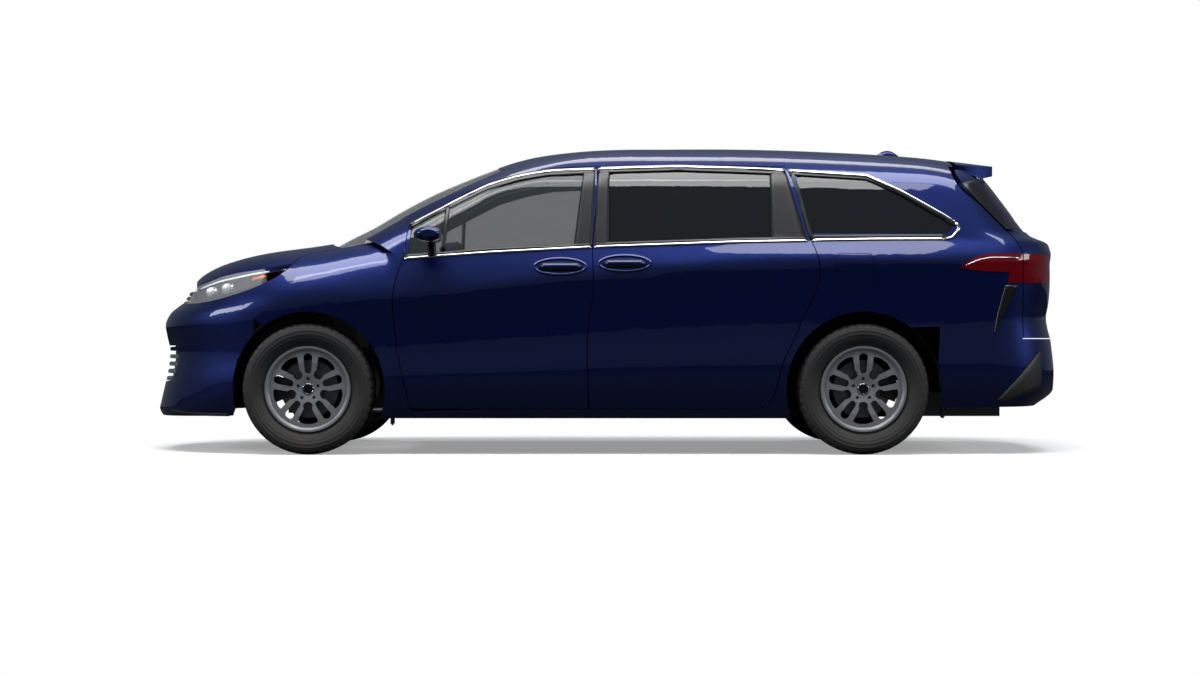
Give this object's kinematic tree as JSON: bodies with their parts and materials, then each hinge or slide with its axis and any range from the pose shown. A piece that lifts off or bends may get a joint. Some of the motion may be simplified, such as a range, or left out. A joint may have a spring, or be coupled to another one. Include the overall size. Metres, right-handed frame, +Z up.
{
  "type": "minivan",
  "caption": "Seven-seat minivan with hinged front doors, sliding side doors, a lifting hood and tailgate, steered front wheels and a furnished cabin.",
  "frame": {"origin": "on the ground under the centre of the bounding box", "axes": "+X points to the front, +Y to the left and +Z up"},
  "size_m": [5.1763, 2.352, 1.7406],
  "materials": {
    "body_paint": "metallic gloss",
    "clear_glass": "clear",
    "dark_glass": "privacy tint",
    "lamp_lens": "clear",
    "red_lens": "gloss",
    "tyre_rubber": "matt",
    "alloy": "satin",
    "steel": "satin",
    "iron": "rough",
    "structure": "matt black primer",
    "black_plastic": "grained",
    "silver_trim": "bright",
    "grey_cloth": "woven"
  },
  "bodies": {
    "shell": {"arch_liners": "black_plastic", "cowl": "black_plastic", "dashboard": "black_plastic", "engine": "iron", "exhaust": "steel", "front_bumper": "body_paint", "front_fenders": "body_paint", "front_seats": "grey_cloth", "front_suspension": "structure", "fuel_tank": "black_plastic", "grille": "silver_trim", "headlamps": "lamp_lens", "middle_pillars": "structure", "middle_seats": "grey_cloth", "quarter_windows": "dark_glass", "radiator": "alloy", "rear_axle": "structure", "rear_bumper": "body_paint", "rear_quarters": "body_paint", "rear_seat": "grey_cloth", "roof_panel": "body_paint", "roof_rails": "body_paint", "sills": "body_paint", "sliding_door_windows": "dark_glass", "sliding_doors": "body_paint", "tail_lamps": "red_lens", "underbody": "structure", "windshield": "clear_glass"},
    "hood": {"hood": "body_paint"},
    "door_left": {"front_door_left": "body_paint", "front_door_window_left": "clear_glass", "mirror_left": "body_paint"},
    "door_right": {"front_door_right": "body_paint", "front_door_window_right": "clear_glass", "mirror_right": "body_paint"},
    "tailgate": {"tailgate": "body_paint", "tailgate_window": "dark_glass", "tailgate_lamps": "red_lens"},
    "fuel_flap": {"fuel_door": "body_paint"},
    "steering": {"steering_wheel": "black_plastic"},
    "knuckle_left": {"knuckle_left": "iron"},
    "knuckle_right": {"knuckle_right": "iron"},
    "wheel_front_left": {"tyre_front_left": "tyre_rubber", "wheel_front_left": "alloy"},
    "wheel_front_right": {"tyre_front_right": "tyre_rubber", "wheel_front_right": "alloy"},
    "wheel_rear_left": {"tyre_rear_left": "tyre_rubber", "wheel_rear_left": "alloy"},
    "wheel_rear_right": {"tyre_rear_right": "tyre_rubber", "wheel_rear_right": "alloy"}
  },
  "joints": [
    {"name": "hood_hinge", "type": "hinge", "parent": "shell", "child": "hood", "pos_m": [1.47, 0, 1.13], "axis": [0, -1, 0], "range_deg": [0, 50]},
    {"name": "front_door_left_hinge", "type": "hinge", "parent": "shell", "child": "door_left", "pos_m": [1.145, 0.978, 0.8], "axis": [0, 0, -1], "range_deg": [0, 68]},
    {"name": "front_door_right_hinge", "type": "hinge", "parent": "shell", "child": "door_right", "pos_m": [1.145, -0.978, 0.8], "axis": [0, 0, 1], "range_deg": [0, 68]},
    {"name": "tailgate_hinge", "type": "hinge", "parent": "shell", "child": "tailgate", "pos_m": [-1.88, 0, 1.618], "axis": [0, 1, 0], "range_deg": [0, 83]},
    {"name": "fuel_door_hinge", "type": "hinge", "parent": "shell", "child": "fuel_flap", "pos_m": [-1.2865, 0.984, 1.0125], "axis": [0, 0, -1], "range_deg": [0, 90]},
    {"name": "steer_left", "type": "hinge", "parent": "shell", "child": "knuckle_left", "pos_m": [1.627, 0.765, 0.19], "axis": [0, -0.1908, 0.9816], "range_deg": [-35, 35]},
    {"name": "steer_right", "type": "hinge", "parent": "shell", "child": "knuckle_right", "pos_m": [1.627, -0.765, 0.19], "axis": [0, 0.1908, 0.9816], "range_deg": [-35, 35]},
    {"name": "steering_wheel_turn", "type": "hinge", "parent": "shell", "child": "steering", "pos_m": [0.76, 0.38, 1.01], "axis": [-0.9063, 0, 0.4226], "range_deg": [-490, 490]},
    {"name": "front_left_spin", "type": "hinge", "parent": "knuckle_left", "child": "wheel_front_left", "pos_m": [1.627, 0.8625, 0.362], "axis": [0, 1, 0], "continuous": true},
    {"name": "front_right_spin", "type": "hinge", "parent": "knuckle_right", "child": "wheel_front_right", "pos_m": [1.627, -0.8625, 0.362], "axis": [0, 1, 0], "continuous": true},
    {"name": "rear_left_spin", "type": "hinge", "parent": "shell", "child": "wheel_rear_left", "pos_m": [-1.433, 0.8625, 0.362], "axis": [0, 1, 0], "continuous": true},
    {"name": "rear_right_spin", "type": "hinge", "parent": "shell", "child": "wheel_rear_right", "pos_m": [-1.433, -0.8625, 0.362], "axis": [0, 1, 0], "continuous": true}
  ],
  "couplings": [
    {"joint": "steer_right", "follows": "steer_left", "ratio": 1},
    {"joint": "steering_wheel_turn", "follows": "steer_left", "ratio": 14}
  ]
}
